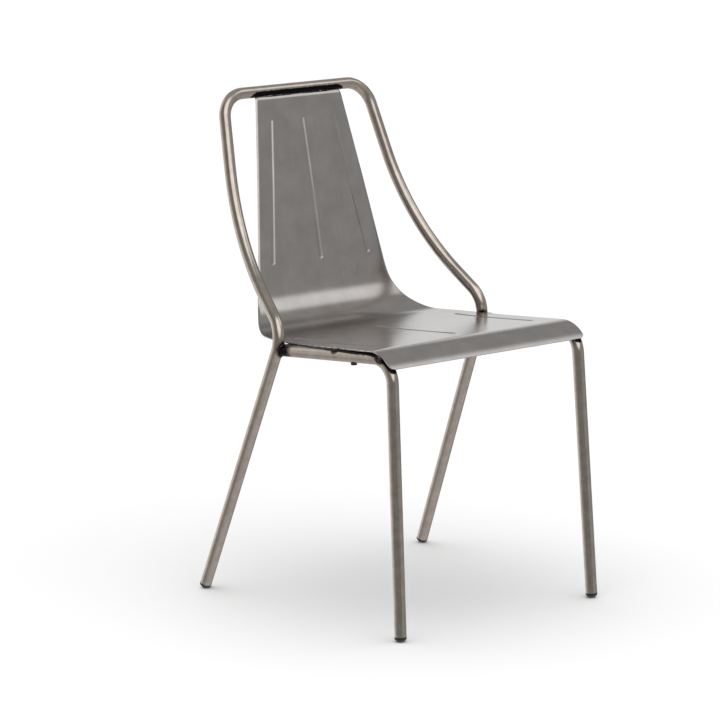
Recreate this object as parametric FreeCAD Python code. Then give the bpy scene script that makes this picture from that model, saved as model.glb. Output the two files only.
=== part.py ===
import FreeCAD, Part
import math
import os
from FreeCAD import Vector

# A bistro chair of welded steel tube, with its seat and back in one bent sheet.
# Millimetres. The floor is Z = 0, the sitter faces -Y and X = 0 is the plane of symmetry.
# "left" is the side at -X, which is on the left when the chair is seen from the front.

# Overall size, over the top bar of the back and from the front feet to that bar
chair_height = 800.0
chair_depth = 521.0

# Steel tube of the frame
tube_radius = 9.5
tube_wall = 1.5

# Where the centre lines of the legs meet the floor
front_foot_half_spacing = 202.7
rear_foot_half_spacing = 233.4
wheelbase = 450.6

# Front leg and side rail, one tube with a bend under the front of the seat
front_bend_half_spacing = 193.5
front_bend_setback = 32.2
front_bend_height = 434.5
front_bend_radius = 37.0
rail_rear_drop = 28.7
rail_rear_inset = 5.0

# Rear legs and back hoop, one tube bent at the seat, behind it and at both top corners
rear_bend_half_spacing = 214.4
rear_bend_height = 443.3
rear_bend_lead = 179.9
rear_bend_radius = 46.0
hoop_sweep_half_spacing = 181.3
hoop_sweep_rise = 121.7
hoop_sweep_lead = 77.5
hoop_sweep_radius = 420.0
top_corner_half_spacing = 148.5
top_corner_radius = 44.5

# Domed plug in the end of each leg, worn flat where it stands
foot_dome_radius = 11.0
foot_skirt = 3.0
foot_sole_cut = 0.5
foot_stem_length = 20.0
foot_stem_clearance = 0.6
foot_rib_clearance = 0.15
foot_rib_height = 1.2
foot_rib_pitch = 5.0
foot_rib_count = 3

# Sheet of the seat and back, measured on its front face from the apron's lower edge
sheet_thickness = 1.5
apron_angle = 49.3
apron_length = 33.1
seat_front_setback = 12.7
front_roll_radius = 61.7
seat_contact_setback = 211.0
seat_lift_angle = 0.55
seat_front_length = 223.0
seat_dish_radius = 2400.0
seat_dish_angle = 3.2
rear_seat_length = 146.6
seat_bend_radius = 76.8
lower_back_length = 227.0
back_bow = 1.3
back_sweep_radius = 3000.0
lip_angle = 35.0
lip_length = 5.2
lip_radius = 7.5
lip_contact_angle = 43.0

# Outline of the sheet laid flat: parallel sides, rounded shoulders and a tapering back
seat_side_gap = 1.5
shoulder_lead = 145.0
shoulder_radius = 262.0
shoulder_angle = 33.0
neck_radius = 190.0
back_taper_angle = 8.7
apron_corner_radius = 10.0
lip_corner_radius = 3.0

# Grooves pressed into the sheet, three up the back and three along the seat
groove_radius = 6.0
groove_depth = 2.0
back_groove_rise = 91.0
back_groove_length = 228.0
back_groove_edge_distance = 29.5
seat_groove_setback = 94.0
seat_groove_length = 179.0
seat_groove_spacing = 167.0

# Two cross tubes under the seat, between the side rails
cross_tube_radius = 8.0
cross_tube_wall = 1.5
cross_tube_drop = 2.5
cross_tube_overlap = 4.75
front_cross_setback = 81.0
rear_cross_setback = 220.0

# Stacking buffer, a button under each side rail with its stem through the tube's wall
buffer_setback = 117.4
buffer_radius = 5.0
buffer_height = 4.8
buffer_edge_radius = 1.5
buffer_stem_radius = 2.5
buffer_stem_clearance = 0.3
buffer_stem_reach = 3.0

# Weld metal
weld_gap = 0.3
weld_leg = 3.5
seat_weld_setback = 49.0
seat_weld_pitch = 103.0
seat_weld_length = 14.0
seat_weld_size = 2.8
hoop_weld_spacing = 55.0
hoop_weld_length = 32.0
hoop_weld_radius = 2.9
hoop_weld_angle = 60.0
hoop_weld_offset = 2.0

# How far a cutting tool runs past the sheet, and the spacing of the outline's points
cut_overrun = 4.0
outline_step = 10.0

# Worked out from the sizes above
bore_radius = tube_radius - tube_wall
front_foot_y = tube_radius - chair_depth / 2
rear_foot_y = front_foot_y + wheelbase
hoop_top_y = chair_depth / 2 - tube_radius
hoop_top_z = chair_height - tube_radius
seat_half_width = rear_bend_half_spacing - tube_radius - seat_side_gap


def unit(vector):
    return vector / vector.Length


def mirrored(shape):
    return shape.mirror(Vector(0, 0, 0), Vector(1, 0, 0))


def flipped(point):
    return Vector(-point.x, point.y, point.z)


def point_at_height(start, end, height):
    share = (height - start.z) / (end.z - start.z)
    return start + (end - start) * share


def point_at_depth(start, end, depth):
    share = (depth - start.y) / (end.y - start.y)
    return start + (end - start) * share


# A wire of straight runs through the corners, joined by tangent arcs
def bent_path(corners, radii):
    edges = []
    start = corners[0]
    for before, corner, after, radius in zip(corners, corners[1:], corners[2:], radii):
        back = unit(before - corner)
        ahead = unit(after - corner)
        half_turn = (math.pi - back.getAngle(ahead)) / 2
        tangent = radius * math.tan(half_turn)
        arc_start = corner + back * tangent
        arc_end = corner + ahead * tangent
        arc_middle = corner + unit(back + ahead) * (radius / math.cos(half_turn) - radius)
        edges.append(Part.LineSegment(start, arc_start).toShape())
        edges.append(Part.Arc(arc_start, arc_middle, arc_end).toShape())
        start = arc_end
    edges.append(Part.LineSegment(start, corners[-1]).toShape())
    return Part.Wire(edges)


def path_start(path):
    first = path.Edges[0]
    return first.valueAt(first.FirstParameter)


def path_end(path):
    last = path.Edges[-1]
    return last.valueAt(last.LastParameter)


# A solid round bar along a path
def rod(path, radius):
    first = path.Edges[0]
    direction = first.tangentAt(first.FirstParameter)
    circle = Part.Wire(Part.makeCircle(radius, path_start(path), direction))
    return path.makePipeShell([circle], True, False)


def straight_rod(start, end, radius):
    return Part.makeCylinder(radius, (end - start).Length, start, end - start)


def round_ended_rod(path, radius):
    balls = [Part.makeSphere(radius, path_start(path)), Part.makeSphere(radius, path_end(path))]
    return rod(path, radius).fuse(balls)


# Centre lines of the tubes on the right side
front_foot = Vector(front_foot_half_spacing, front_foot_y, 0)
front_bend = Vector(front_bend_half_spacing, front_foot_y + front_bend_setback, front_bend_height)
rear_foot = Vector(rear_foot_half_spacing, rear_foot_y, 0)
rear_bend = Vector(rear_bend_half_spacing, rear_foot_y - rear_bend_lead, rear_bend_height)
hoop_sweep = Vector(hoop_sweep_half_spacing, hoop_top_y - hoop_sweep_lead, rear_bend_height + hoop_sweep_rise)
top_corner = Vector(top_corner_half_spacing, hoop_top_y, hoop_top_z)
rail_joint = point_at_height(rear_foot, rear_bend, rear_bend_height - rail_rear_drop)
rail_target = rail_joint - Vector(rail_rear_inset, 0, 0)
rail_direction = unit(rail_target - front_bend)

# The tube stops above the dome of its foot plug, whose ball has its centre on the leg's line
dome_height = foot_dome_radius - math.sqrt(foot_dome_radius ** 2 - tube_radius ** 2)
tube_end_offset = dome_height + foot_skirt - foot_dome_radius


def foot_centre(foot, next_corner):
    up = unit(next_corner - foot)
    return foot + up * ((foot_dome_radius - foot_sole_cut) / up.z)


def leg_end(foot, next_corner):
    return foot_centre(foot, next_corner) + unit(next_corner - foot) * tube_end_offset


def rail_point(depth):
    return point_at_depth(front_bend, rail_target, depth)


side_path = bent_path([leg_end(front_foot, front_bend), front_bend, rail_target], [front_bend_radius])
hoop_side = [leg_end(rear_foot, rear_bend), rear_bend, hoop_sweep, top_corner]
hoop_side_radii = [rear_bend_radius, hoop_sweep_radius, top_corner_radius]
hoop_path = bent_path(
    hoop_side + [flipped(corner) for corner in reversed(hoop_side)],
    hoop_side_radii + list(reversed(hoop_side_radii)),
)
side_envelope = rod(side_path, tube_radius + weld_gap)
hoop_envelope = rod(hoop_path, tube_radius + weld_gap)


# Domed head under the tube, with a ribbed stem in the bore
def foot_plug(foot, next_corner):
    centre = foot_centre(foot, next_corner)
    up = unit(next_corner - foot)
    seat = leg_end(foot, next_corner)
    ball = Part.makeSphere(foot_dome_radius, centre, up)
    plug = straight_rod(centre - up * foot_dome_radius, seat, tube_radius).common(ball)
    tip = seat + up * foot_stem_length
    plug = plug.fuse(straight_rod(seat - up * foot_skirt, tip, bore_radius - foot_stem_clearance))
    for index in range(foot_rib_count):
        low = seat + up * (foot_rib_pitch * (index + 1))
        high = low + up * foot_rib_height
        plug = plug.fuse(straight_rod(low, high, bore_radius - foot_rib_clearance))
    reach = 2 * foot_dome_radius
    floor = Part.makeBox(2 * reach, 2 * reach, reach, Vector(foot.x - reach, foot.y - reach, -reach))
    return plug.cut(floor).removeSplitter()


# Stacking buffer, square to the rail and below it
buffer_point = rail_point(front_foot_y + buffer_setback)
buffer_side = unit(rail_direction.cross(Vector(0, 0, 1)))
buffer_up = unit(buffer_side.cross(rail_direction))


def stacking_buffer():
    bottom = buffer_point - buffer_up * (tube_radius + buffer_height)
    button = Part.makeCylinder(buffer_radius, tube_radius + buffer_height, bottom, buffer_up)
    rim = [edge for edge in button.Edges if (edge.CenterOfMass - bottom).Length < buffer_edge_radius]
    button = button.makeFillet(buffer_edge_radius, rim).cut(side_envelope)
    stem_top = buffer_point - buffer_up * (bore_radius - buffer_stem_reach)
    stem = straight_rod(bottom + buffer_up * buffer_edge_radius, stem_top, buffer_stem_radius)
    return button.fuse(stem).removeSplitter()


def rear_leg_hoop():
    return rod(hoop_path, tube_radius).cut(rod(hoop_path, bore_radius))


# The rail's rear end is coped to the rear leg, and its lower wall has the buffer's hole
def front_leg_rail():
    hole = straight_rod(buffer_point, buffer_point - buffer_up * 2 * tube_radius,
                        buffer_stem_radius + buffer_stem_clearance)
    tube = rod(side_path, tube_radius).cut(rod(side_path, bore_radius))
    return tube.cut(hoop_envelope).cut(hole)


# A stretch of the sheet's side view, straight or an arc, from its start (y, z) and its heading
class Stretch:
    def __init__(self, start, heading, length, curvature):
        self.start = start
        self.heading = heading
        self.length = length
        self.curvature = curvature

    def heading_at(self, along):
        return self.heading + self.curvature * along

    def point_at(self, along):
        y, z = self.start
        if self.curvature == 0:
            return y + along * math.cos(self.heading), z + along * math.sin(self.heading)
        turned = self.heading_at(along)
        return (y + (math.sin(turned) - math.sin(self.heading)) / self.curvature,
                z - (math.cos(turned) - math.cos(self.heading)) / self.curvature)


def heading_between(start, end):
    return math.atan2(end[1] - start[1], end[0] - start[0])


def stepped(start, heading, length):
    return start[0] + length * math.cos(heading), start[1] + length * math.sin(heading)


# Corners of the sheet's side view. The seat lies on the rails, and the lip ends at the top bar.
contact = rail_point(front_foot_y + seat_contact_setback)
rail_heading = math.atan2(rail_direction.z, rail_direction.y)
seat_heading = rail_heading - math.radians(seat_lift_angle)
rise_to_front_face = (tube_radius + weld_gap + sheet_thickness) / math.cos(seat_heading)
seat_front_y = front_bend.y + seat_front_setback
seat_front = (seat_front_y, contact.z + rise_to_front_face + (seat_front_y - contact.y) * math.tan(seat_heading))
apron_edge = stepped(seat_front, math.radians(apron_angle), -apron_length)
seat_dish = stepped(seat_front, seat_heading, seat_front_length)
seat_back = stepped(seat_dish, seat_heading + math.radians(seat_dish_angle), rear_seat_length)
lip_reach = tube_radius + weld_gap
lip_end = stepped((hoop_top_y, hoop_top_z), math.radians(180 + lip_contact_angle), lip_reach)
lip_corner = stepped(lip_end, math.radians(lip_angle), -lip_length)
back_heading = heading_between(seat_back, lip_corner)
back_sweep = stepped(stepped(seat_back, back_heading, lower_back_length), back_heading + math.pi / 2, back_bow)
sheet_corners = [apron_edge, seat_front, seat_dish, seat_back, back_sweep, lip_corner, lip_end]
sheet_radii = [front_roll_radius, seat_dish_radius, seat_bend_radius, back_sweep_radius, lip_radius]


def sheet_stretches():
    stretches = []
    start = sheet_corners[0]
    for before, corner, after, radius in zip(sheet_corners, sheet_corners[1:], sheet_corners[2:], sheet_radii):
        heading = heading_between(before, corner)
        turn = heading_between(corner, after) - heading
        tangent = radius * math.tan(abs(turn) / 2)
        run = math.dist(start, corner) - tangent
        line = Stretch(start, heading, run, 0)
        arc = Stretch(line.point_at(run), heading, radius * abs(turn), math.copysign(1 / radius, turn))
        stretches += [line, arc]
        start = arc.point_at(arc.length)
    heading = heading_between(start, sheet_corners[-1])
    stretches.append(Stretch(start, heading, math.dist(start, sheet_corners[-1]), 0))
    return stretches


stretches = sheet_stretches()
sheet_length = sum(stretch.length for stretch in stretches)
# Distance along the sheet to the middle of the bend between seat and back
seat_bend_middle = sum(stretch.length for stretch in stretches[:5]) + stretches[5].length / 2


# The point at this distance along the sheet, this deep behind its front face
def sheet_point(along, depth, x):
    for stretch in stretches:
        if along <= stretch.length or stretch is stretches[-1]:
            break
        along -= stretch.length
    y, z = stretch.point_at(along)
    heading = stretch.heading_at(along)
    return Vector(x, y + depth * math.sin(heading), z - depth * math.cos(heading))


# Side view of the sheet's face at one depth, from the apron to the lip, as straight and arc edges
def sheet_edges(depth, x, overrun):
    edges = []
    along = 0
    start = sheet_point(-overrun, depth, x)
    for stretch in stretches:
        middle = sheet_point(along + stretch.length / 2, depth, x)
        along += stretch.length
        end = sheet_point(along + (overrun if stretch is stretches[-1] else 0), depth, x)
        if stretch.curvature == 0:
            edges.append(Part.LineSegment(start, end).toShape())
        else:
            edges.append(Part.Arc(start, middle, end).toShape())
        start = end
    return edges


# Half width of the flat sheet: sides, a shoulder arc, a neck arc and the taper of the back
def half_width(along):
    steepest = math.radians(shoulder_angle)
    taper = math.radians(back_taper_angle)
    along -= seat_bend_middle - shoulder_lead
    if along <= 0:
        return seat_half_width
    shoulder_run = shoulder_radius * math.sin(steepest)
    if along <= shoulder_run:
        return seat_half_width - shoulder_radius + math.sqrt(shoulder_radius ** 2 - along ** 2)
    width = seat_half_width - shoulder_radius * (1 - math.cos(steepest))
    along -= shoulder_run
    neck_run = neck_radius * (math.sin(steepest) - math.sin(taper))
    if along <= neck_run:
        from_centre = neck_radius * math.sin(steepest) - along
        return width + neck_radius * math.cos(steepest) - math.sqrt(neck_radius ** 2 - from_centre ** 2)
    width -= neck_radius * (math.cos(taper) - math.cos(steepest))
    return width - (along - neck_run) * math.tan(taper)


# The sheet's cross-section between two depths, drawn out sideways
def sheet_slab(front_depth, back_depth, overrun, half):
    front = sheet_edges(front_depth, -half, overrun)
    back = sheet_edges(back_depth, -half, overrun)
    lip_line = Part.LineSegment(front[-1].Vertexes[-1].Point, back[-1].Vertexes[-1].Point).toShape()
    apron_line = Part.LineSegment(back[0].Vertexes[0].Point, front[0].Vertexes[0].Point).toShape()
    loop = Part.Wire(front + [lip_line] + list(reversed(back)) + [apron_line])
    return Part.Face(loop).extrude(Vector(2 * half, 0, 0))


def spline(points):
    curve = Part.BSplineCurve()
    curve.interpolate(points)
    return curve.toShape()


# What lies outside the outline on the right, square to the sheet
def outline_tool():
    first = -2 * cut_overrun
    count = math.ceil((sheet_length - 2 * first) / outline_step)
    step = (sheet_length - 2 * first) / count
    alongs = [first + step * index for index in range(count + 1)]
    rims = []
    for depth in (-cut_overrun, sheet_thickness + cut_overrun):
        rims.append(spline([sheet_point(along, depth, half_width(along)) for along in alongs]))
    return Part.makeRuledSurface(rims[0], rims[1]).extrude(Vector(seat_half_width, 0, 0))


# What lies outside a rounded corner at one end of the sheet, on the right
def corner_tool(along, inward, radius):
    base = sheet_point(along, -cut_overrun, 0)
    ahead = unit(sheet_point(along + inward, -cut_overrun, 0) - base)
    deep = unit(sheet_point(along, 0, 0) - base)
    half = half_width(along)

    def place(x, distance):
        return base + Vector(x, 0, 0) + ahead * distance

    slant = radius * math.sqrt(0.5)
    rim = [place(half - radius, 0), place(half - radius, -cut_overrun), place(half + cut_overrun, -cut_overrun),
           place(half + cut_overrun, radius), place(half, radius)]
    edges = [Part.LineSegment(start, end).toShape() for start, end in zip(rim, rim[1:])]
    edges.append(Part.Arc(rim[-1], place(half - radius + slant, radius - slant), rim[0]).toShape())
    return Part.Face(Part.Wire(edges)).extrude(deep * (sheet_thickness + 2 * cut_overrun))


# Centre line of a groove's round tool, from one distance and X to another
def groove_path(start, length, start_x, end_x):
    depth = groove_depth - groove_radius

    def place(along):
        return sheet_point(along, depth, start_x + (end_x - start_x) * (along - start) / length)

    edges = []
    passed = 0
    for stretch in stretches:
        low = max(start, passed)
        passed += stretch.length
        high = min(start + length, passed)
        if high - low < groove_radius / 10:
            continue
        if stretch.curvature == 0:
            edges.append(Part.LineSegment(place(low), place(high)).toShape())
        else:
            edges.append(Part.Arc(place(low), place((low + high) / 2), place(high)).toShape())
    return Part.Wire(edges)


def groove_paths():
    low = seat_bend_middle + back_groove_rise
    edge_distance = back_groove_edge_distance / math.cos(math.radians(back_taper_angle))
    low_x = half_width(low) - edge_distance
    high_x = half_width(low + back_groove_length) - edge_distance
    paths = []
    for side in (-1, 0, 1):
        paths.append(groove_path(low, back_groove_length, side * low_x, side * high_x))
        seat_x = side * seat_groove_spacing
        paths.append(groove_path(seat_groove_setback, seat_groove_length, seat_x, seat_x))
    return paths


def seat_back_sheet():
    half = seat_half_width + cut_overrun
    behind = sheet_slab(0, groove_depth + 2 * sheet_thickness, 0, half)
    paths = groove_paths()
    ridges = [round_ended_rod(path, groove_radius + sheet_thickness).common(behind) for path in paths]
    grooves = [round_ended_rod(path, groove_radius) for path in paths]
    sheet = sheet_slab(0, sheet_thickness, 0, half).fuse(ridges).cut(grooves)
    tools = [outline_tool(), corner_tool(0, 1, apron_corner_radius),
             corner_tool(sheet_length, -1, lip_corner_radius)]
    return sheet.cut(tools + [mirrored(tool) for tool in tools])


# The sheet grown by the gap that the welds keep, as wide as the seat all over
def sheet_envelope():
    return sheet_slab(-weld_gap, sheet_thickness + weld_gap, weld_gap, seat_half_width + weld_gap)


# Weld bead: a round-ended bar, cut back to the pieces that it joins
def bead(middle, direction, length, radius, neighbours):
    half = direction * (length / 2 - radius)
    metal = round_ended_rod(Part.Wire([Part.LineSegment(middle - half, middle + half).toShape()]), radius)
    for neighbour in neighbours:
        metal = metal.cut(neighbour)
    return metal


# Distance along the sheet where the seat has this Y, found by halving
def along_at(depth):
    low = 0
    high = seat_bend_middle
    while high - low > 1e-6:
        middle = (low + high) / 2
        if sheet_point(middle, 0, 0).y < depth:
            low = middle
        else:
            high = middle
    return low


# Bead that bridges the rail and the sheet's lower edge
def seat_weld(depth, neighbours):
    along = along_at(depth)
    corner = sheet_point(along, sheet_thickness, half_width(along))
    axis_point = side_path.distToShape(Part.Vertex(corner))[1][0][0]
    towards = unit(corner - axis_point)
    rail_skin = axis_point + towards * tube_radius
    gap = (corner - rail_skin).Length
    direction = unit(sheet_point(along + 1, 0, 0) - sheet_point(along - 1, 0, 0))
    return bead((corner + rail_skin) / 2, direction, seat_weld_length, seat_weld_size + gap / 2, neighbours)


def hoop_weld(neighbours):
    angle = math.radians(180 + hoop_weld_angle)
    y, z = stepped((hoop_top_y, hoop_top_z), angle, tube_radius + hoop_weld_offset)
    return bead(Vector(hoop_weld_spacing, y, z), Vector(1, 0, 0), hoop_weld_length, hoop_weld_radius, neighbours)


# Fillet of weld round the end of one tube, where it meets the side of another
def collar(start, end, radius, other_fat, neighbours):
    run = unit(end - start)
    length = (end - start).Length
    cone = Part.makeCone(radius + weld_gap, radius + weld_leg, length, start, run)
    metal = cone.common(other_fat)
    for neighbour in neighbours:
        metal = metal.cut(neighbour)
    return metal


def rail_weld():
    start = rail_target - rail_direction * (tube_radius + 2 * weld_leg)
    fat = rod(hoop_path, tube_radius + weld_leg)
    return collar(start, rail_target, tube_radius, fat, [hoop_envelope, side_envelope])


def cross_line(setback):
    on_rail = rail_point(front_foot_y + setback)
    end = Vector(on_rail.x - cross_tube_overlap, on_rail.y, on_rail.z - cross_tube_drop)
    return flipped(end), end


def cross_tube(setback):
    start, end = cross_line(setback)
    tube = straight_rod(start, end, cross_tube_radius)
    tube = tube.cut(straight_rod(start, end, cross_tube_radius - cross_tube_wall))
    return tube.cut(side_envelope).cut(mirrored(side_envelope))


def cross_weld(setback):
    start, end = cross_line(setback)
    inner = end - unit(end - start) * (tube_radius + 2 * weld_leg)
    fat = rod(side_path, tube_radius + weld_leg)
    tube = straight_rod(start, end, cross_tube_radius + weld_gap)
    return collar(inner, end, cross_tube_radius, fat, [side_envelope, tube])


def save(node, shape):
    shape.exportStep("parts/" + node + ".step")


def save_pair(node, shape):
    save(node + "_right", shape)
    save(node + "_left", mirrored(shape))


os.makedirs("parts", exist_ok=True)
save("rear_leg_hoop", rear_leg_hoop())
save("seat_back_sheet", seat_back_sheet())
save("front_cross_tube", cross_tube(front_cross_setback))
save("rear_cross_tube", cross_tube(rear_cross_setback))
save_pair("front_leg_rail", front_leg_rail())
save_pair("foot_front", foot_plug(front_foot, front_bend))
save_pair("foot_rear", foot_plug(rear_foot, rear_bend))
save_pair("stacking_buffer", stacking_buffer())
save_pair("rail_weld", rail_weld())
save_pair("front_cross_weld", cross_weld(front_cross_setback))
save_pair("rear_cross_weld", cross_weld(rear_cross_setback))
welded_pieces = [side_envelope, sheet_envelope()]
for order, place in enumerate(["front", "middle", "rear"]):
    weld_y = front_foot_y + seat_weld_setback + order * seat_weld_pitch
    save_pair("seat_weld_" + place, seat_weld(weld_y, welded_pieces))
save_pair("hoop_weld", hoop_weld([hoop_envelope, sheet_envelope()]))
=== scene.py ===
import math

import bmesh
import bpy
from mathutils import Matrix, Vector
from mathutils.bvhtree import BVHTree


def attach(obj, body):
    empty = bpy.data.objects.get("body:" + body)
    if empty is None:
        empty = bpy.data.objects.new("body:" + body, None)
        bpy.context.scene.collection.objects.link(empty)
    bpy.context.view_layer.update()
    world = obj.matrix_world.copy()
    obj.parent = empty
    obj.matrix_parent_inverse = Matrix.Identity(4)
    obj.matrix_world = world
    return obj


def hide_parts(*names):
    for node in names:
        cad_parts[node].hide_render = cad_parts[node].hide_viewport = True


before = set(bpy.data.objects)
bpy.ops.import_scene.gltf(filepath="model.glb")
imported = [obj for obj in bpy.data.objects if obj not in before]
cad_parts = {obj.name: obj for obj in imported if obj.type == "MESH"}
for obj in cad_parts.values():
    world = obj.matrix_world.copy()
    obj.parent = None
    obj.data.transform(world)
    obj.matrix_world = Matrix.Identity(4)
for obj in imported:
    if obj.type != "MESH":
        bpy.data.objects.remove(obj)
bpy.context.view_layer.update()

# A bistro chair of raw steel: three bent tubes, one bent sheet, black plugs in the feet.
# Sizes in the dictionaries are millimetres. Points are on the chair's right side, where X is positive.
mm = 0.001
print("frame loaded,", len(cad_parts), "nodes")


def flip(point):
    return Vector((-point[0], point[1], point[2]))


# sRGB hex to the linear colour that the shaders want
def linear(code):
    values = [int(code[i:i + 2], 16) / 255 for i in (1, 3, 5)]
    return [v / 12.92 if v <= 0.04045 else ((v + 0.055) / 1.055) ** 2.4 for v in values] + [1.0]


# One node with its settings; an input given as a node or a socket is linked, anything else is a value
def addNode(tree, kind, settings=None, inputs=None):
    node = tree.nodes.new(kind)
    for name, value in (settings or {}).items():
        setattr(node, name, value)
    for key, value in (inputs or {}).items():
        if isinstance(value, bpy.types.Node):
            value = value.outputs[0]
        if isinstance(value, bpy.types.NodeSocket):
            tree.links.new(value, node.inputs[key])
        else:
            node.inputs[key].default_value = value
    return node


def newObject(name, mesh):
    obj = bpy.data.objects.new(name, mesh)
    bpy.context.scene.collection.objects.link(obj)
    return obj


def meshFrom(name, points, edges=(), faces=()):
    mesh = bpy.data.meshes.new(name)
    mesh.from_pydata([Vector(point) * mm for point in points], list(edges), list(faces))
    mesh.update()
    return mesh


# Turns an object with modifiers into a plain mesh, smooth but for edges sharper than an angle
def settle(obj, sharpAngle=None):
    graph = bpy.context.evaluated_depsgraph_get()
    mesh = bpy.data.meshes.new_from_object(obj.evaluated_get(graph), depsgraph=graph)
    old = obj.data
    obj.modifiers.clear()
    obj.data = mesh
    bpy.data.meshes.remove(old)
    mesh.name = obj.name
    if sharpAngle is not None:
        mesh.shade_smooth()
        mesh.set_sharp_from_angle(angle=math.radians(sharpAngle))
    return obj


# An empty Geometry Nodes tree with named inputs, its input sockets and its output sockets
def newTree(name, inputs):
    tree = bpy.data.node_groups.new(name, "GeometryNodeTree")
    tree.interface.new_socket("Geometry", in_out="INPUT", socket_type="NodeSocketGeometry")
    for label, kind in inputs:
        tree.interface.new_socket(label, in_out="INPUT", socket_type="NodeSocket" + kind)
    tree.interface.new_socket("Geometry", in_out="OUTPUT", socket_type="NodeSocketGeometry")
    return tree, tree.nodes.new("NodeGroupInput").outputs, tree.nodes.new("NodeGroupOutput").inputs


# Every tree ends the same way
def finishTree(tree, geometry, material, result):
    real = addNode(tree, "GeometryNodeRealizeInstances", {}, {"Geometry": geometry})
    finished = addNode(tree, "GeometryNodeSetMaterial", {}, {"Geometry": real, "Material": material})
    tree.links.new(finished.outputs["Geometry"], result["Geometry"])


def runTree(obj, tree, values):
    modifier = obj.modifiers.new(tree.name, "NODES")
    modifier.node_group = tree
    for item in tree.interface.items_tree:
        if item.item_type == "SOCKET" and item.in_out == "INPUT" and item.name in values:
            modifier[item.identifier] = values[item.name]


# Hangs a finished piece under the root body, which it moves with, and hides the CAD node that it replaces
def seat(piece, node):
    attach(piece, "root")
    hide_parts(node)


camera = {
    "place": (-3632.2, -4210.6, 1485.8),  # stands back 5.5 m
    "turn": 40.215,       # degrees, from straight behind the chair's front
    "tilt": 11.284,       # degrees down
    "sensor": 36.0,
    "focal": 177.01,
    "farClip": 60000.0,
}


def makeCamera():
    lens = bpy.data.cameras.new("camera")
    lens.sensor_width = camera["sensor"]
    lens.lens = camera["focal"]
    lens.clip_end = camera["farClip"] * mm
    holder = newObject("camera", lens)
    holder.location = Vector(camera["place"]) * mm
    holder.rotation_euler = (math.radians(90 - camera["tilt"]), 0, -math.radians(camera["turn"]))
    bpy.context.scene.camera = holder


# The light. Matt things get an even glow and one broad soft sun, together enough for the open floor to
# show as white. Shiny things see a studio instead: (compass angle, height angle, inner edge, outer edge,
# strength) of each pale wall or soft box, in degrees, with the compass at 0 to the chair's right and 90
# behind it.
studio = {
    "background": 1.0,    # what the camera sees behind the chair
    "ambient": 0.80,
    "sunShare": 0.42,
    "sunSpread": 75,
    "sunFrom": (-0.05, -0.04, 1.0),
    "room": 0.34,
    "boxes": [
        (56, -5, 18, 36, 0.82),    # low pale backdrop behind the chair
        (104, 0, 18, 40, 0.80),    # the same, further left
        (112, 34, 10, 24, 0.55),   # its top
        (142, -2, 14, 34, 0.22),   # pale wall at the back left
        (-108, 42, 22, 38, 1.55),  # soft box at the front left
        (-34, 42, 8, 18, 0.98),    # small lamp at the front right
        (-46, 0, 20, 58, 0.20),    # glow of the room in front
        (10, 75, 30, 60, 0.20),    # ceiling
        (0, -90, 38, 72, 0.42),    # white floor, as metal sees it
    ],
    "floorColour": "#FCFCFC",
    "floorReach": 12000,
}


def makeWorld():
    world = bpy.data.worlds.new("studio")
    bpy.context.scene.world = world
    world.use_nodes = True
    tree = world.node_tree
    tree.nodes.clear()
    direction = addNode(tree, "ShaderNodeTexCoord").outputs["Generated"]
    glow = studio["room"]
    for compass, height, inner, outer, strength in studio["boxes"]:
        around, up = math.radians(compass), math.radians(height)
        centre = Vector((math.cos(around) * math.cos(up), math.sin(around) * math.cos(up), math.sin(up)))
        facing = addNode(tree, "ShaderNodeVectorMath", {"operation": "DOT_PRODUCT"}, {
            0: direction, 1: centre}).outputs["Value"]
        edge = addNode(tree, "ShaderNodeMapRange", {"interpolation_type": "SMOOTHSTEP"}, {
            "Value": facing, "From Min": math.cos(math.radians(outer)),
            "From Max": math.cos(math.radians(inner)), "To Max": strength})
        glow = addNode(tree, "ShaderNodeMath", {"operation": "ADD"}, {0: edge, 1: glow})
    ray = addNode(tree, "ShaderNodeLightPath").outputs
    shiny = addNode(tree, "ShaderNodeMath", {"operation": "MAXIMUM"}, {
        0: ray["Is Glossy Ray"], 1: ray["Is Transmission Ray"]})
    unseen = addNode(tree, "ShaderNodeMix", {"data_type": "FLOAT"}, {0: shiny, 2: studio["ambient"], 3: glow})
    level = addNode(tree, "ShaderNodeMix", {"data_type": "FLOAT"}, {
        0: ray["Is Camera Ray"], 2: unseen, 3: studio["background"]})
    light = addNode(tree, "ShaderNodeBackground", {}, {"Strength": level})
    addNode(tree, "ShaderNodeOutputWorld", {}, {"Surface": light})


def makeLamp():
    lamp = bpy.data.lights.new("softSun", "SUN")
    aim = Vector(studio["sunFrom"]).normalized()
    lamp.angle = math.radians(studio["sunSpread"])
    lamp.energy = studio["sunShare"] * math.pi / aim.z
    holder = newObject("softSun", lamp)
    holder.rotation_euler = aim.to_track_quat("Z", "Y").to_euler()
    holder.visible_glossy = False


def makeFloor():
    reach = studio["floorReach"]
    corners = [(-reach, -reach, 0), (reach, -reach, 0), (reach, reach, 0), (-reach, reach, 0)]
    floor = newObject("floor", meshFrom("floor", corners, faces=[(0, 1, 2, 3)]))
    floor.visible_glossy = False
    material, tree = newMaterial("paleFloor")
    finishMaterial(tree, {
        "Base Color": linear(studio["floorColour"]), "Roughness": 1.0, "Specular IOR Level": 0.0})
    floor.data.materials.append(material)


def newMaterial(name):
    material = bpy.data.materials.new(name)
    material.use_nodes = True
    material.node_tree.nodes.clear()
    return material, material.node_tree


# Every material ends in one shader
def finishMaterial(tree, inputs):
    shader = addNode(tree, "ShaderNodeBsdfPrincipled", {}, inputs)
    addNode(tree, "ShaderNodeOutputMaterial", {}, {"Surface": shader})


# Gives a colour ramp its stops: (position, colour, how much it covers)
def setStops(node, stops):
    band = node.color_ramp.elements
    while len(band) < len(stops):
        band.new(0.5)
    for element, (position, colour, cover) in zip(band, stops):
        element.position = position
        element.color = linear(colour)[:3] + [cover]
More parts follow.
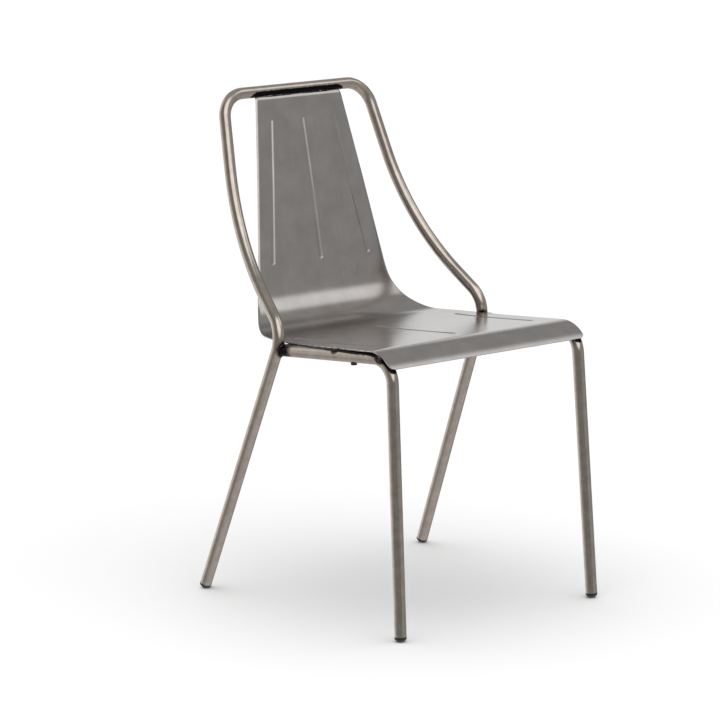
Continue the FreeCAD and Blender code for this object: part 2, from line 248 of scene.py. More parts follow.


# Where welding heated the steel: middle of each weld on the right side, and how far the tint reaches
# The rail's tint at the rear leg reaches further than heat alone: its black part is partly painted shade of
# the gap between rail and leg
railJointHeatAndShade = ((210.0, 26.0, 415.5), 33.0)
legJointHeat = ((209.5, 20.0, 416.0), 17.0)
seatWeldHeat = [((203.0, -201.0, 437.0), 13.0), ((203.3, -99.0, 435.0), 12.0), ((203.8, 4.0, 426.0), 13.0)]
hoopWeldHeat = [((30.0, 244.0, 781.0), 9.0), ((64.0, 244.0, 781.0), 9.0)]
heatTint = [  # from the weld outwards: scale, blue black, plum, brown, straw, clean
    (0.0, "#121214", 1.0), (0.62, "#17151A", 1.0), (0.74, "#3A2A33", 0.9), (0.84, "#6E5138", 0.7),
    (0.93, "#A98F62", 0.35), (1.0, "#BFB098", 0.0)]
tintEdge = {"patch": 5.0, "ragged": 0.22}  # how ragged it ends, as a share of the weld's reach


# Painted shade: the tubes turn near black where their surface comes close to the sheet, in the crevice
# between them
paintedCreviceShade = {
    "near": 5.4, "far": 7.2, "uneven": 2.4, "patch": 7.0, "colour": "#151416",
    "lowestOnBar": 765.0, "moreOnBar": 2.2,
}


# Heat tint round the welds, then painted shade where the tube comes close to the sheet
def heatTintAndPaintedShade(tree, colour, welds):
    spot = addNode(tree, "ShaderNodeTexCoord").outputs["Object"]
    oneSide = addNode(tree, "ShaderNodeVectorMath", {"operation": "ABSOLUTE"}, {0: spot})
    split = addNode(tree, "ShaderNodeSeparateXYZ", {}, {0: spot}).outputs
    folded = addNode(tree, "ShaderNodeSeparateXYZ", {}, {0: oneSide}).outputs
    place = addNode(tree, "ShaderNodeCombineXYZ", {}, {0: folded[0], 1: split[1], 2: split[2]})
    nearest = 10.0
    for middle, reach in welds:
        gap = addNode(tree, "ShaderNodeVectorMath", {"operation": "DISTANCE"}, {
            0: place, 1: Vector(middle) * mm}).outputs["Value"]
        share = addNode(tree, "ShaderNodeMath", {"operation": "DIVIDE"}, {0: gap, 1: reach * mm})
        nearest = addNode(tree, "ShaderNodeMath", {"operation": "MINIMUM"}, {0: share, 1: nearest})
    mottle = addNode(tree, "ShaderNodeTexNoise", {}, {
        "Vector": spot, "Scale": 1 / (tintEdge["patch"] * mm), "Detail": 3.0})
    ragged = addNode(tree, "ShaderNodeMath", {"operation": "MULTIPLY_ADD"}, {
        0: mottle, 1: tintEdge["ragged"], 2: -tintEdge["ragged"] / 2})
    reached = addNode(tree, "ShaderNodeMath", {"operation": "ADD"}, {0: nearest, 1: ragged})
    band = addNode(tree, "ShaderNodeValToRGB", {}, {"Fac": reached})
    setStops(band, heatTint)
    burnt = addNode(tree, "ShaderNodeMix", {"data_type": "RGBA"}, {
        0: band.outputs["Alpha"], 6: colour, 7: band.outputs["Color"]}).outputs[2]
    # painted shade in the crevice next to the sheet, darkest where the tube is closest to it
    gap = addNode(tree, "ShaderNodeAttribute", {"attribute_name": "sheetGap"}).outputs["Fac"]
    drift = addNode(tree, "ShaderNodeTexNoise", {}, {
        "Vector": spot, "Scale": 1 / (paintedCreviceShade["patch"] * mm), "Detail": 3.0})
    uneven = addNode(tree, "ShaderNodeMath", {"operation": "MULTIPLY_ADD"}, {
        0: drift, 1: paintedCreviceShade["uneven"] * mm, 2: -paintedCreviceShade["uneven"] / 2 * mm})
    apart = addNode(tree, "ShaderNodeMath", {"operation": "ADD"}, {0: gap, 1: uneven})
    paintedShadeShare = addNode(tree, "ShaderNodeMapRange", {"interpolation_type": "SMOOTHSTEP"}, {
        "Value": apart, "From Min": paintedCreviceShade["near"] * mm, "From Max": paintedCreviceShade["far"] * mm,
        "To Min": 1.0, "To Max": 0.0})
    return addNode(tree, "ShaderNodeMix", {"data_type": "RGBA"}, {
        0: paintedShadeShare, 6: burnt, 7: linear(paintedCreviceShade["colour"])}).outputs[2]


# Welded mild steel tube as it comes from the mill, under clear lacquer: warm grey with long faint
# drawing lines and soft cloudy patches, blued and browned where it was welded, painted shade near the sheet
tubeSteel = {
    "light": "#C8BEB4", "dark": "#AEA398", "toneFrom": 0.36, "toneTo": 0.64,
    "lineWidth": 0.9, "lineLength": 70.0,  # drawing lines, coarser than the real ones so that they show
    "lineShare": 0.45, "lineDepth": 0.012, "lineRelief": 0.3,
    "patch": 14.0,
    "roughness": 0.17, "roughnessSpread": 0.16,
}


def tubeMaterial(name, welds):
    material, tree = newMaterial(name)
    travelled = addNode(tree, "ShaderNodeAttribute", {"attribute_name": "tubeLength"}).outputs["Fac"]
    ring = addNode(tree, "ShaderNodeAttribute", {"attribute_name": "tubeRound"}).outputs["Vector"]
    ringParts = addNode(tree, "ShaderNodeSeparateXYZ", {}, {0: ring}).outputs
    squeezed = addNode(tree, "ShaderNodeMath", {"operation": "MULTIPLY"}, {
        0: travelled, 1: tubeSteel["lineWidth"] / tubeSteel["lineLength"]})
    unrolled = addNode(tree, "ShaderNodeCombineXYZ", {}, {0: ringParts[0], 1: ringParts[1], 2: squeezed})
    lines = addNode(tree, "ShaderNodeTexNoise", {}, {
        "Vector": unrolled, "Scale": 1 / (tubeSteel["lineWidth"] * mm), "Detail": 2.0})
    spot = addNode(tree, "ShaderNodeTexCoord").outputs["Object"]
    patches = addNode(tree, "ShaderNodeTexNoise", {}, {
        "Vector": spot, "Scale": 1 / (tubeSteel["patch"] * mm), "Detail": 4.0, "Roughness": 0.6})
    tone = addNode(tree, "ShaderNodeMix", {"data_type": "FLOAT"}, {
        0: tubeSteel["lineShare"], 2: patches, 3: lines})
    steel = addNode(tree, "ShaderNodeValToRGB", {}, {"Fac": tone})
    setStops(steel, [
        (tubeSteel["toneFrom"], tubeSteel["dark"], 1), (tubeSteel["toneTo"], tubeSteel["light"], 1)])
    spread = tubeSteel["roughnessSpread"]
    gloss = addNode(tree, "ShaderNodeMath", {"operation": "MULTIPLY_ADD"}, {
        0: tone, 1: spread, 2: tubeSteel["roughness"] - spread / 2})
    relief = addNode(tree, "ShaderNodeBump", {}, {
        "Strength": tubeSteel["lineRelief"], "Distance": tubeSteel["lineDepth"] * mm, "Height": lines})
    finishMaterial(tree, {
        "Base Color": heatTintAndPaintedShade(tree, steel, welds), "Metallic": 1.0, "Roughness": gloss, "Normal": relief})
    return material


# Cold-rolled mild steel sheet under clear lacquer: neutral grey, satin, with clouding from the rolls
sheetSteel = {
    "light": "#B9B5B2", "dark": "#ABA7A4", "toneFrom": 0.38, "toneTo": 0.62,
    "lineWidth": 1.1, "lineLength": 60.0, "lineShare": 0.25,
    "cloud": 45.0, "cloudShare": 0.6,
    "speck": 1.6, "speckShare": 0.15, "speckDepth": 0.01, "speckRelief": 0.25,
    "roughness": 0.20, "roughnessSpread": 0.10,
}


def sheetMaterial():
    material, tree = newMaterial("rolledSheetSteel")
    flat = addNode(tree, "ShaderNodeAttribute", {"attribute_name": "flatPlace"}).outputs["Vector"]
    squeeze = sheetSteel["lineWidth"] / sheetSteel["lineLength"]
    stretched = addNode(tree, "ShaderNodeVectorMath", {"operation": "MULTIPLY"}, {
        0: flat, 1: (1.0, squeeze, 1.0)})
    lines = addNode(tree, "ShaderNodeTexNoise", {}, {
        "Vector": stretched, "Scale": 1 / (sheetSteel["lineWidth"] * mm), "Detail": 2.0})
    clouds = addNode(tree, "ShaderNodeTexNoise", {}, {
        "Vector": flat, "Scale": 1 / (sheetSteel["cloud"] * mm), "Detail": 4.0, "Roughness": 0.55})
    specks = addNode(tree, "ShaderNodeTexNoise", {}, {
        "Vector": flat, "Scale": 1 / (sheetSteel["speck"] * mm), "Detail": 2.0})
    tone = 0.0
    for pattern, share in ((lines, "lineShare"), (specks, "speckShare"), (clouds, "cloudShare")):
        tone = addNode(tree, "ShaderNodeMath", {"operation": "MULTIPLY_ADD"}, {
            0: pattern, 1: sheetSteel[share], 2: tone})
    steel = addNode(tree, "ShaderNodeValToRGB", {}, {"Fac": tone})
    setStops(steel, [
        (sheetSteel["toneFrom"], sheetSteel["dark"], 1), (sheetSteel["toneTo"], sheetSteel["light"], 1)])
    spread = sheetSteel["roughnessSpread"]
    gloss = addNode(tree, "ShaderNodeMath", {"operation": "MULTIPLY_ADD"}, {
        0: tone, 1: spread, 2: sheetSteel["roughness"] - spread / 2})
    relief = addNode(tree, "ShaderNodeBump", {}, {
        "Strength": sheetSteel["speckRelief"], "Distance": sheetSteel["speckDepth"] * mm, "Height": specks})
    finishMaterial(tree, {"Base Color": steel, "Metallic": 1.0, "Roughness": gloss, "Normal": relief})
    return material


# Weld bead as laid: dark, glassy ripples with blue, plum and brown scale
weldSteel = {
    "scale": 2.4, "ripple": 0.9, "rippleDepth": 0.08, "rippleRelief": 0.6, "roughness": 0.28,
    "colours": [(0.34, "#161518", 1), (0.46, "#2D2A38", 1), (0.56, "#453A36", 1), (0.66, "#8A8078", 1)],
}


def weldMaterial():
    material, tree = newMaterial("weldBead")
    spot = addNode(tree, "ShaderNodeTexCoord").outputs["Object"]
    blots = addNode(tree, "ShaderNodeTexNoise", {}, {
        "Vector": spot, "Scale": 1 / (weldSteel["scale"] * mm), "Detail": 3.0})
    scale = addNode(tree, "ShaderNodeValToRGB", {}, {"Fac": blots})
    setStops(scale, weldSteel["colours"])
    ripples = addNode(tree, "ShaderNodeTexNoise", {}, {
        "Vector": spot, "Scale": 1 / (weldSteel["ripple"] * mm), "Detail": 2.0})
    relief = addNode(tree, "ShaderNodeBump", {}, {
        "Strength": weldSteel["rippleRelief"], "Distance": weldSteel["rippleDepth"] * mm, "Height": ripples})
    finishMaterial(tree, {
        "Base Color": scale, "Metallic": 1.0, "Roughness": weldSteel["roughness"], "Normal": relief})
    return material


# Moulded black polyamide: satin, with the fine texture of a spark-eroded mould
polyamide = {
    "light": "#232627", "dark": "#181A1B", "toneFrom": 0.35, "toneTo": 0.65, "patch": 6.0,
    "grain": 0.5, "grainDepth": 0.03, "grainRelief": 0.4,
    "roughness": 0.36, "roughnessSpread": 0.2, "ior": 1.53,
}


def plasticMaterial():
    material, tree = newMaterial("blackPolyamide")
    spot = addNode(tree, "ShaderNodeTexCoord").outputs["Object"]
    grain = addNode(tree, "ShaderNodeTexNoise", {}, {
        "Vector": spot, "Scale": 1 / (polyamide["grain"] * mm), "Detail": 2.0})
    patches = addNode(tree, "ShaderNodeTexNoise", {}, {
        "Vector": spot, "Scale": 1 / (polyamide["patch"] * mm), "Detail": 3.0})
    tone = addNode(tree, "ShaderNodeValToRGB", {}, {"Fac": patches})
    setStops(tone, [
        (polyamide["toneFrom"], polyamide["dark"], 1), (polyamide["toneTo"], polyamide["light"], 1)])
    gloss = addNode(tree, "ShaderNodeMath", {"operation": "MULTIPLY_ADD"}, {
        0: grain, 1: polyamide["roughnessSpread"], 2: polyamide["roughness"]})
    relief = addNode(tree, "ShaderNodeBump", {}, {
        "Strength": polyamide["grainRelief"], "Distance": polyamide["grainDepth"] * mm, "Height": grain})
    finishMaterial(tree, {"Base Color": tone, "Roughness": gloss, "IOR": polyamide["ior"], "Normal": relief})
    return material


# Points of the tubes' centre lines, and the bend radius at each corner between the ends
tubes = {
    "radius": 9.5,
    "roundSteps": 56,
    "bendSteps": 44,
    "stepLength": 4.0,
    "frontFoot": (202.7, -251.0, 0.0),
    "frontBend": (193.5, -218.8, 434.5),
    "frontRadius": 37.0,
    "railEnd": (210.63, 31.35, 414.6),
    "rearFoot": (233.4, 199.6, 0.0),
    "rearBend": (214.4, 19.7, 443.3),
    "hoopSweep": (181.3, 173.5, 565.0),
    "topCorner": (148.5, 251.0, 790.5),
    "hoopRadii": [46.0, 420.0, 44.5],
    "crossRadius": 8.0,
    "crossEnds": {"front": (192.1, -170.0, 428.1), "rear": (201.6, -31.0, 417.1)},
}
plug = {
    "ballRadius": 11.0,
    "soleCut": 0.5,
    "skirt": 3.0,
    "edge": 0.5,
    "edgeMiddle": 0.15,
    "stem": 7.4,
    "stemLength": 12.0,
    "steps": 72,
    "domeSteps": 20,
}


def plugCentre(foot, above):
    up = (Vector(above) - Vector(foot)).normalized()
    return Vector(foot) + up * ((plug["ballRadius"] - plug["soleCut"]) / up.z), up


# Height of the tube's end over the middle of the plug's ball; below it, so negative
def tubeEndOffset():
    ball, tube = plug["ballRadius"], tubes["radius"]
    return plug["skirt"] - math.sqrt(ball ** 2 - tube ** 2)


def legEnd(foot, above):
    centre, up = plugCentre(foot, above)
    return centre + up * tubeEndOffset()


# One tube swept along a line of corners, each rounded to its own bend radius. It leaves on the
# surface how far along the tube a point is, and where round it, for the drawing lines in the steel.
def tubeTree():
    tree, given, result = newTree("bentTube", [
        ("Tube Radius", "Float"), ("Bend Steps", "Int"), ("Step Length", "Float"), ("Round Steps", "Int"),
        ("Material", "Material")])
    line = addNode(tree, "GeometryNodeMeshToCurve", {}, {"Mesh": given["Geometry"]})
    bend = addNode(tree, "GeometryNodeInputNamedAttribute", {"data_type": "FLOAT"}, {"Name": "bendRadius"})
    rounded = addNode(tree, "GeometryNodeFilletCurve", {"mode": "POLY"}, {
        "Curve": line, "Count": given["Bend Steps"], "Radius": bend})
    even = addNode(tree, "GeometryNodeResampleCurve", {"mode": "LENGTH"}, {
        "Curve": rounded, "Length": given["Step Length"]})
    travelled = addNode(tree, "GeometryNodeSplineParameter").outputs["Length"]
    measured = addNode(tree, "GeometryNodeStoreNamedAttribute", {"data_type": "FLOAT", "domain": "POINT"}, {
        "Geometry": even, "Name": "tubeLength", "Value": travelled})
    ring = addNode(tree, "GeometryNodeCurvePrimitiveCircle", {"mode": "RADIUS"}, {
        "Resolution": given["Round Steps"], "Radius": given["Tube Radius"]})
    spot = addNode(tree, "GeometryNodeInputPosition")
    marked = addNode(tree, "GeometryNodeStoreNamedAttribute", {
        "data_type": "FLOAT_VECTOR", "domain": "POINT"}, {
        "Geometry": ring, "Name": "tubeRound", "Value": spot})
    swept = addNode(tree, "GeometryNodeCurveToMesh", {}, {
        "Curve": measured, "Profile Curve": marked, "Fill Caps": True})
    finishTree(tree, swept, given["Material"], result)
    return tree


# A line of corners as a mesh that carries each corner's bend radius
def bendLine(name, corners, radii):
    mesh = meshFrom(name, corners, [(i, i + 1) for i in range(len(corners) - 1)])
    bend = mesh.attributes.new("bendRadius", "FLOAT", "POINT")
    for item, radius in zip(bend.data, [0, *radii, 0]):
        item.value = radius * mm
    return newObject(name, mesh)


def bentTube(name, tree, corners, radii, material, radius=tubes["radius"]):
    obj = bendLine(name, corners, radii)
    runTree(obj, tree, {
        "Tube Radius": radius * mm, "Bend Steps": tubes["bendSteps"], "Step Length": tubes["stepLength"] * mm,
        "Round Steps": tubes["roundSteps"], "Material": material})
    return settle(obj, 40)


# Copes a tube's ends to the tubes that they meet
def cope(obj, others):
    for other in others:
        cut = obj.modifiers.new("cope", "BOOLEAN")
        cut.operation = "DIFFERENCE"
        cut.solver = "EXACT"
        cut.object = other
    return settle(obj, 40)


def makeTubes(materials):
    tree = tubeTree()
    side = [legEnd(tubes["rearFoot"], tubes["rearBend"]), tubes["rearBend"], tubes["hoopSweep"],
            tubes["topCorner"]]
    corners = side + [flip(corner) for corner in reversed(side)]
    radii = tubes["hoopRadii"] + tubes["hoopRadii"][::-1]
    hoop = bentTube("rearLegHoop", tree, corners, radii, materials["hoop"])
    seat(hoop, "rear_leg_hoop")
    rails = {}
    leg = [legEnd(tubes["frontFoot"], tubes["frontBend"]), tubes["frontBend"], tubes["railEnd"]]
    for label, turn in (("Right", Vector), ("Left", flip)):
        rail = bentTube("frontLegRail" + label, tree, [turn(corner) for corner in leg],
                        [tubes["frontRadius"]], materials["rail"])
        rails[label] = cope(rail, [hoop])
        seat(rails[label], "front_leg_rail_" + label.lower())
    for label, end in tubes["crossEnds"].items():
        cross = bentTube(label + "CrossTube", tree, [flip(end), end], [], materials["rail"],
                         tubes["crossRadius"])
        seat(cope(cross, rails.values()), label + "_cross_tube")
    print("tubes bent")
    return hoop, rails


# Leaves on each tube how far its surface is from the sheet, which sets where its material paints shade
def markGap(tube, other, lowest=0.0, more=0.0):
    shape = BVHTree.FromObject(other, bpy.context.evaluated_depsgraph_get())
    gap = tube.data.attributes.new("sheetGap", "FLOAT", "POINT")
    for item, vertex in zip(gap.data, tube.data.vertices):
        item.value = shape.find_nearest(vertex.co)[3] - more * mm if vertex.co.z > lowest * mm else 1.0


# The sheet: corners of its bent side view (y, z), its flat outline, and the grooves pressed into it
sheet = {
    "corners": [(-227.68, 421.35), (-206.10, 446.44), (16.02, 426.62), (162.54, 421.77),
                (208.88, 643.99), (239.57, 780.83), (243.83, 783.82)],
    "radii": [61.7, 2400.0, 76.8, 3000.0, 12.5],
    "bendSteps": 64,
    "thickness": 1.5,
    "halfSeat": 203.4,
    "shoulderStart": 241.95,
    "shoulderRadius": 262.0,
    "shoulderAngle": 33.0,
    "neckRadius": 190.0,
    "taper": 8.7,
    "apronCorner": 10.0,
    "lipCorner": 3.0,
    "grooveHalfWidth": 5.8,
    "grooveDepth": 1.4,
    "seatGroove": (94.0, 273.0),
    "seatGrooveX": 167.0,
    "backGroove": (477.9, 705.9),
    "backGrooveEdge": 29.5,
    "edgeRoom": 14.0,     # least distance from the grooves' columns of points to the sheet's edge
    "rim": 0.35,
    "margin": 4.2,        # width of the strip along each side of the back that turns away
    "marginDrop": 1.7,
    "marginFrom": (330.0, 400.0),
}


def sheetLength():
    corners = [Vector((0, *corner)) for corner in sheet["corners"]]
    length = sum((b - a).length for a, b in zip(corners, corners[1:]))
    for a, b, c, radius in zip(corners, corners[1:], corners[2:], sheet["radii"]):
        turn = (b - a).angle(c - b)
        length -= radius * (2 * math.tan(turn / 2) - turn)
    return length


def halfWidth(distance):
    steepest, taper = math.radians(sheet["shoulderAngle"]), math.radians(sheet["taper"])
    shoulder, neck = sheet["shoulderRadius"], sheet["neckRadius"]
    distance -= sheet["shoulderStart"]
    if distance <= 0:
        return sheet["halfSeat"]
    if distance <= shoulder * math.sin(steepest):
        return sheet["halfSeat"] - shoulder + math.sqrt(shoulder ** 2 - distance ** 2)
    width = sheet["halfSeat"] - shoulder * (1 - math.cos(steepest))
    distance -= shoulder * math.sin(steepest)
    neckRun = neck * (math.sin(steepest) - math.sin(taper))
    if distance <= neckRun:
        inward = neck * math.sin(steepest) - distance
        return width + neck * math.cos(steepest) - math.sqrt(neck ** 2 - inward ** 2)
    width -= neck * (math.cos(taper) - math.cos(steepest))
    return width - (distance - neckRun) * math.tan(taper)


def corner(distance, radius):  # how far a rounded corner draws the edge in
    return radius - math.sqrt(radius ** 2 - (radius - distance) ** 2) if distance < radius else 0.0


def edgeAt(distance, length):
    drawnIn = corner(distance, sheet["apronCorner"]) + corner(length - distance, sheet["lipCorner"])
    return halfWidth(distance) - drawnIn


def backGrooveX(distance):
    return halfWidth(distance) - sheet["backGrooveEdge"] / math.cos(math.radians(sheet["taper"]))


# Line that the outer columns of the blank follow: the seat groove, then the back groove
def grooveColumn(distance):
    (start, end), x = sheet["seatGroove"], sheet["seatGrooveX"]
    low = sheet["backGroove"][0]
    if distance <= end:
        return x
    if distance >= low:
        return backGrooveX(distance)
    share = (distance - end) / (low - end)
    eased = share * share * (3 - 2 * share)
    wanted = x + (backGrooveX(low) - x) * eased
    return min(wanted, halfWidth(distance) - sheet["edgeRoom"])


# Distances along the blank, closer together at its ends, in the tight lip and at the grooves' ends
def blankRows(length):
    marks = [0, 0.6, 1.4, 2.6, 4.2, 6.2, 8.4, 11]
    marks += [length - step for step in (0, 0.5, 1.2, 2.2, 3.4)]
    for low, high in (sheet["seatGroove"], sheet["backGroove"]):
        for end in (low, high):
            marks += [end + 0.8 * step for step in range(-8, 9)]
    row = 14.0
    while row < length - 6:
        if all(abs(row - mark) > 1.6 for mark in marks):
            marks.append(row)
        row += 1.2 if row > length - 22 else 4.0
    return sorted(marks)


def blankColumns(distance, length):
    edge = edgeAt(distance, length)
    groove = min(grooveColumn(distance), edge - sheet["edgeRoom"])
    near = [-8, -6.2, -5.2, -4.4, -3.6, -2.8, -2, -1.2, -0.6, 0, 0.6, 1.2, 2, 2.8, 3.6, 4.4, 5.2, 6.2, 8]
    inner = [8 + (groove - 16) * step / 11 for step in range(1, 11)]
    flank = edge - 4.5 - groove - 8
    outer = [groove + 8 + flank * step / 5 for step in range(1, 6)]
    outer += [edge - 3.5, edge - 2.6, edge - 1.8, edge - 1.0, edge - 0.4, edge]
    half = [x for x in near if x > 0] + inner + [groove + x for x in near] + outer
    return [-x for x in reversed(half)] + [0] + half


def grooveLines():
    (seatStart, seatEnd), (backStart, backEnd) = sheet["seatGroove"], sheet["backGroove"]
    points, links = [], []
    for side in (-1, 0, 1):
        points += [(side * sheet["seatGrooveX"], seatStart, 0), (side * sheet["seatGrooveX"], seatEnd, 0),
                   (side * backGrooveX(backStart), backStart, 0), (side * backGrooveX(backEnd), backEnd, 0)]
        links += [(len(points) - 4, len(points) - 3), (len(points) - 2, len(points) - 1)]
    return points, links


# Presses the grooves into the flat blank, then wraps it along the bent side view
def sheetTree():
    tree, given, result = newTree("pressedAndBent", [
        ("Groove Lines", "Object"), ("Side View", "Object"), ("Groove Half Width", "Float"),
        ("Groove Depth", "Float"), ("Margin", "Float"), ("Margin Drop", "Float"), ("Margin Start", "Float"),
        ("Margin Full", "Float"), ("Bend Steps", "Int"), ("Material", "Material")])
    spot = addNode(tree, "GeometryNodeInputPosition")
    kept = addNode(tree, "GeometryNodeStoreNamedAttribute", {
        "data_type": "FLOAT_VECTOR", "domain": "POINT"}, {
        "Geometry": given["Geometry"], "Name": "flatPlace", "Value": spot})
    lines = addNode(tree, "GeometryNodeObjectInfo", {}, {"Object": given["Groove Lines"]})
    near = addNode(tree, "GeometryNodeProximity", {"target_element": "EDGES"}, {0: lines.outputs["Geometry"]})
    pressed = addNode(tree, "ShaderNodeMapRange", {"interpolation_type": "SMOOTHSTEP"}, {
        "Value": near.outputs["Distance"], "From Min": 0.0, "From Max": given["Groove Half Width"],
        "To Min": given["Groove Depth"], "To Max": 0.0})
    view = addNode(tree, "GeometryNodeObjectInfo", {}, {"Object": given["Side View"]})
    line = addNode(tree, "GeometryNodeMeshToCurve", {}, {"Mesh": view.outputs["Geometry"]})
    bend = addNode(tree, "GeometryNodeInputNamedAttribute", {"data_type": "FLOAT"}, {"Name": "bendRadius"})
    path = addNode(tree, "GeometryNodeFilletCurve", {"mode": "POLY"}, {
        "Curve": line, "Count": given["Bend Steps"], "Radius": bend})
    flat = addNode(tree, "ShaderNodeSeparateXYZ", {}, {0: spot}).outputs
    inward = addNode(tree, "GeometryNodeInputNamedAttribute", {"data_type": "FLOAT"}, {"Name": "edgeGap"})
    close = addNode(tree, "ShaderNodeMapRange", {}, {
        "Value": inward, "From Min": 0.0, "From Max": given["Margin"], "To Min": 1.0, "To Max": 0.0})
    onBack = addNode(tree, "ShaderNodeMapRange", {"interpolation_type": "SMOOTHSTEP"}, {
        "Value": flat[1], "From Min": given["Margin Start"], "From Max": given["Margin Full"],
        "To Min": 0.0, "To Max": given["Margin Drop"]})
    squared = addNode(tree, "ShaderNodeMath", {"operation": "MULTIPLY"}, {0: close, 1: close})
    depth = addNode(tree, "ShaderNodeMath", {"operation": "MULTIPLY_ADD"}, {
        0: squared, 1: onBack, 2: pressed})
    sample = addNode(tree, "GeometryNodeSampleCurve", {"mode": "LENGTH", "data_type": "FLOAT"}, {
        "Curves": path, "Length": flat[1]}).outputs
    front = addNode(tree, "ShaderNodeVectorMath", {"operation": "CROSS_PRODUCT"}, {
        0: (1, 0, 0), 1: sample["Tangent"]})
    unit = addNode(tree, "ShaderNodeVectorMath", {"operation": "NORMALIZE"}, {0: front})
    behind = addNode(tree, "ShaderNodeMath", {"operation": "MULTIPLY"}, {0: depth, 1: -1.0})
    sunk = addNode(tree, "ShaderNodeVectorMath", {"operation": "SCALE"}, {0: unit, "Scale": behind})
    across = addNode(tree, "ShaderNodeCombineXYZ", {}, {0: flat[0]})
    wrapped = addNode(tree, "ShaderNodeVectorMath", {"operation": "ADD"}, {0: sample["Position"], 1: across})
    bent = addNode(tree, "ShaderNodeVectorMath", {"operation": "ADD"}, {0: wrapped, 1: sunk})
    moved = addNode(tree, "GeometryNodeSetPosition", {}, {"Geometry": kept, "Position": bent})
    finishTree(tree, moved, given["Material"], result)
    return tree


def makeSheet(material):
    length = sheetLength()
    rows = blankRows(length)
    grid = [[(x, row, 0) for x in blankColumns(row, length)] for row in rows]
    wide = len(grid[0])
    faces = []
    for j in range(len(rows) - 1):
        for i in range(wide - 1):
            first = j * wide + i
            faces.append((first, first + 1, first + wide + 1, first + wide))
    spots = [spot for line in grid for spot in line]
    blank = newObject("seatBackSheet", meshFrom("blank", spots, faces=faces))
    inward = blank.data.attributes.new("edgeGap", "FLOAT", "POINT")
    for item, spot in zip(inward.data, spots):
        item.value = (edgeAt(spot[1], length) - abs(spot[0])) * mm
    points, links = grooveLines()
    grooves = newObject("grooveLines", meshFrom("grooveLines", points, links))
    sideView = bendLine("sideView", [(0, *corner) for corner in sheet["corners"]], sheet["radii"])
    runTree(blank, sheetTree(), {
        "Groove Lines": grooves, "Side View": sideView, "Groove Half Width": sheet["grooveHalfWidth"] * mm,
        "Groove Depth": sheet["grooveDepth"] * mm, "Margin": sheet["margin"] * mm,
        "Margin Drop": sheet["marginDrop"] * mm, "Margin Start": sheet["marginFrom"][0] * mm,
        "Margin Full": sheet["marginFrom"][1] * mm, "Bend Steps": sheet["bendSteps"],
        "Material": material})
    settle(blank)
    for helper in (grooves, sideView):
        bpy.data.objects.remove(helper)
    wall = blank.modifiers.new("wall", "SOLIDIFY")
    wall.thickness = sheet["thickness"] * mm
    wall.offset = -1
    wall.use_even_offset = True
    rim = blank.modifiers.new("rim", "BEVEL")
    rim.width = sheet["rim"] * mm
    rim.segments = 2
    rim.limit_method = "ANGLE"
    rim.angle_limit = math.radians(50)
    rim.harden_normals = True
    settle(blank, 60)
    seat(blank, "seat_back_sheet")
    print("sheet pressed and bent,", len(blank.data.polygons), "faces")
    return blank


# A turned piece: (radius, height) points spun about the Z axis, then stood along a direction
def turned(name, outline, base, up, steps):
    work = bmesh.new()
    rings = [[work.verts.new((radius * math.cos(a) * mm, radius * math.sin(a) * mm, height * mm))
              for a in (2 * math.pi * step / steps for step in range(steps))] for radius, height in outline]
    for low, high in zip(rings, rings[1:]):
        for i in range(steps):
            work.faces.new((low[i], low[i - steps + 1], high[i - steps + 1], high[i]))
    work.faces.new(list(reversed(rings[0])))
    work.faces.new(rings[-1])
    stand = Vector((0, 0, 1)).rotation_difference(up).to_matrix().to_4x4()
    work.transform(Matrix.Translation(Vector(base) * mm) @ stand)
    mesh = bpy.data.meshes.new(name)
    work.to_mesh(mesh)
    work.free()
    return newObject(name, mesh)


def finishTurned(obj, material, sharpAngle=40):
    obj.data.materials.append(material)
    obj.data.shade_smooth()
    obj.data.set_sharp_from_angle(angle=math.radians(sharpAngle))


# Plug in the end of a leg: domed head, short skirt, stem up the bore, worn flat where it stands
def makePlugs(material):
    ball, tube = plug["ballRadius"], tubes["radius"]
    steps = plug["domeSteps"]
    turns = [math.asin(tube / ball) * step / steps for step in range(1, steps + 1)]
    outline = [(ball * math.sin(turn), -ball * math.cos(turn)) for turn in turns]
    end = tubeEndOffset()
    outline += [(tube, end - plug["edge"]), (tube - plug["edgeMiddle"], end - plug["edgeMiddle"]),
                (tube - plug["edge"], end), (plug["stem"], end), (plug["stem"], end + plug["stemLength"])]
    for place, foot, above in (("front", "frontFoot", "frontBend"), ("rear", "rearFoot", "rearBend")):
        for label, turn in (("Right", Vector), ("Left", flip)):
            centre, up = plugCentre(turn(tubes[foot]), turn(tubes[above]))
            piece = turned(place + "Foot" + label, outline, centre, up, plug["steps"])
            work = bmesh.new()
            work.from_mesh(piece.data)
            cut = bmesh.ops.bisect_plane(work, geom=work.verts[:] + work.edges[:] + work.faces[:],
                                         plane_co=(0, 0, 0), plane_no=(0, 0, 1), clear_inner=True)
            rim = [part for part in cut["geom_cut"] if isinstance(part, bmesh.types.BMEdge)]
            bmesh.ops.holes_fill(work, edges=rim)
            bmesh.ops.recalc_face_normals(work, faces=work.faces[:])
            work.to_mesh(piece.data)
            work.free()
            finishTurned(piece, material)
            seat(piece, "foot_" + place + "_" + label.lower())
    print("feet plugged")


buffer = {"place": (199.22, -135.2, 427.85), "up": (0.0054, 0.0789, 0.9969), "radius": 5.0, "height": 3.7,
          "edge": 1.5, "edgeSteps": 6, "sink": 1.2, "steps": 40}


# Stacking buffer: a small button under the rail
def makeBuffers(material):
    low = tubes["radius"] + buffer["height"]
    r, edge, steps = buffer["radius"], buffer["edge"], buffer["edgeSteps"]
    outline = [(r - edge, -low)]
    outline += [(r - edge + edge * math.sin(a), -low + edge - edge * math.cos(a))
                for a in (math.pi / 2 * step / steps for step in range(1, steps + 1))]
    outline.append((r, -tubes["radius"] + buffer["sink"]))
    for label, turn in (("Right", Vector), ("Left", flip)):
        piece = turned("stackingBuffer" + label, outline, turn(buffer["place"]), turn(buffer["up"]),
                       buffer["steps"])
        finishTurned(piece, material)
        seat(piece, "stacking_buffer_" + label.lower())
    print("buffers set")


